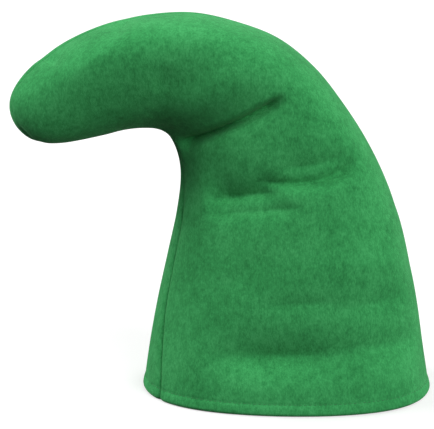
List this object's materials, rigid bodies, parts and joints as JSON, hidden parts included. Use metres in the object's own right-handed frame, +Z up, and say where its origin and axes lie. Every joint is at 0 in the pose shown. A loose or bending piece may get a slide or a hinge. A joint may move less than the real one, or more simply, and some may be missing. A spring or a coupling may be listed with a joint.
{
  "type": "gnome hat",
  "caption": "Tall green felt gnome hat, hollow and open at the rim, with its soft rounded tip bent over forward and creased at the bend.",
  "frame": {"origin": "on the floor that the rim rests on, under the middle of the hat's bounding box", "axes": "+X toward the back of the hat, the tip bends over toward -X; +Y toward the far side; +Z up"},
  "size_m": [0.3194, 0.1572, 0.2878],
  "materials": {
    "near_felt": "brushed felt, mottled green, matt with a soft nap",
    "far_felt": "brushed felt, mottled green, matt with a soft nap"
  },
  "bodies": {
    "root": {"near_panel": "near_felt", "far_panel": "far_felt"}
  },
  "joints": []
}
